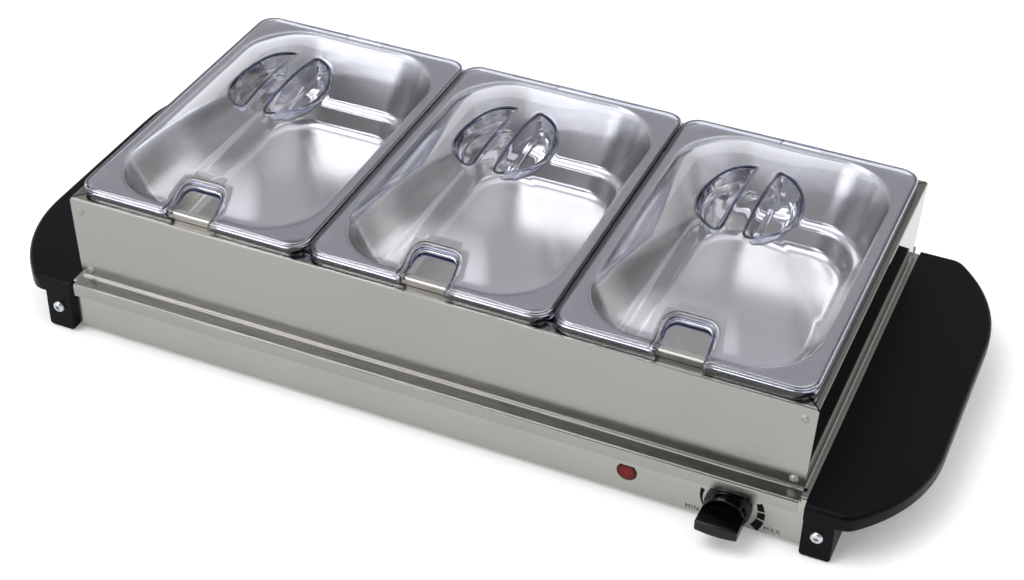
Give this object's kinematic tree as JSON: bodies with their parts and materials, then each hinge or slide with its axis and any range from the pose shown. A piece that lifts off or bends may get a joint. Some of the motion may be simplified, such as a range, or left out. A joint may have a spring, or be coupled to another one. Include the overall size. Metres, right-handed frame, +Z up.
{
  "type": "buffet warmer",
  "caption": "Low electric buffet warmer with a warming tray, end handles, a steel pan frame, stepped steel pans and clear domed lids with spoon notches.",
  "frame": {"origin": "on the table under the middle of the whole object: level with the foot pads, midway between the end handles and midway between the knob's front and the cord inlet's tail", "axes": "+X to the right along the row of pans as the user faces the knob, +Y from the front to the rear, +Z up"},
  "size_m": [0.6696, 0.336, 0.1529],
  "materials": {
    "brushed_steel": "satin",
    "pan_steel": "bright satin",
    "galvanised": "matt",
    "zinc": "bright",
    "brass": "satin",
    "black_plastic": "satin",
    "knob_plastic": "gloss",
    "clear_plastic": "clear gloss",
    "red_lens": "clear gloss",
    "rubber": "matt",
    "board": "matt",
    "insulation": "matt",
    "terminal_plastic": "matt"
  },
  "bodies": {
    "base": {"tray_shell": "brushed_steel", "bottom_cover": "galvanised", "handle_left": "black_plastic", "handle_right": "black_plastic", "foot_pad_front_left": "rubber", "leg_screw_front_left": "zinc", "foot_pad_front_right": "rubber", "leg_screw_front_right": "zinc", "foot_pad_rear_left": "rubber", "leg_screw_rear_left": "zinc", "foot_pad_rear_right": "rubber", "leg_screw_rear_right": "zinc", "cover_screw_1": "zinc", "cover_screw_2": "zinc", "cover_screw_3": "zinc", "cover_screw_4": "zinc", "cover_screw_5": "zinc", "cover_screw_6": "zinc", "heater_board": "board", "heater_insulation": "insulation", "heater_strap_left": "galvanised", "heater_strap_middle": "galvanised", "heater_strap_right": "galvanised", "thermostat_bracket": "galvanised", "thermostat_body": "terminal_plastic", "lamp_lens": "red_lens", "lamp_holder": "black_plastic", "cord_gland": "rubber", "terminal_block": "terminal_plastic"},
    "dial": {"knob": "knob_plastic", "thermostat_shaft": "brass"},
    "pan_frame": {"frame_front_wall": "brushed_steel", "frame_rear_wall": "brushed_steel", "frame_end_left": "brushed_steel", "frame_end_right": "brushed_steel", "rivet_front_left_high": "brushed_steel", "rivet_front_left_low": "brushed_steel", "rivet_front_right_high": "brushed_steel", "rivet_front_right_low": "brushed_steel", "rivet_rear_left_high": "brushed_steel", "rivet_rear_left_low": "brushed_steel", "rivet_rear_right_high": "brushed_steel", "rivet_rear_right_low": "brushed_steel"},
    "left_pan": {"pan_left": "pan_steel"},
    "left_lid": {"lid_left": "clear_plastic"},
    "middle_pan": {"pan_middle": "pan_steel"},
    "middle_lid": {"lid_middle": "clear_plastic"},
    "right_pan": {"pan_right": "pan_steel"},
    "right_lid": {"lid_right": "clear_plastic"}
  },
  "joints": [
    {"name": "knob_turn", "type": "hinge", "parent": "base", "child": "dial", "pos_m": [0.2179, -0.1415, 0.018], "axis": [0, 1, 0], "range_deg": [-30, 210]},
    {"name": "frame_lift", "type": "slide", "parent": "base", "child": "pan_frame", "axis": [0, 0, 1], "range_m": [0, 0.09]},
    {"name": "left_pan_lift", "type": "slide", "parent": "pan_frame", "child": "left_pan", "axis": [0, 0, 1], "range_m": [0, 0.08]},
    {"name": "left_lid_lift", "type": "slide", "parent": "left_pan", "child": "left_lid", "axis": [0, 0, 1], "range_m": [0, 0.06]},
    {"name": "middle_pan_lift", "type": "slide", "parent": "pan_frame", "child": "middle_pan", "axis": [0, 0, 1], "range_m": [0, 0.08]},
    {"name": "middle_lid_lift", "type": "slide", "parent": "middle_pan", "child": "middle_lid", "axis": [0, 0, 1], "range_m": [0, 0.06]},
    {"name": "right_pan_lift", "type": "slide", "parent": "pan_frame", "child": "right_pan", "axis": [0, 0, 1], "range_m": [0, 0.08]},
    {"name": "right_lid_lift", "type": "slide", "parent": "right_pan", "child": "right_lid", "axis": [0, 0, 1], "range_m": [0, 0.06]}
  ]
}
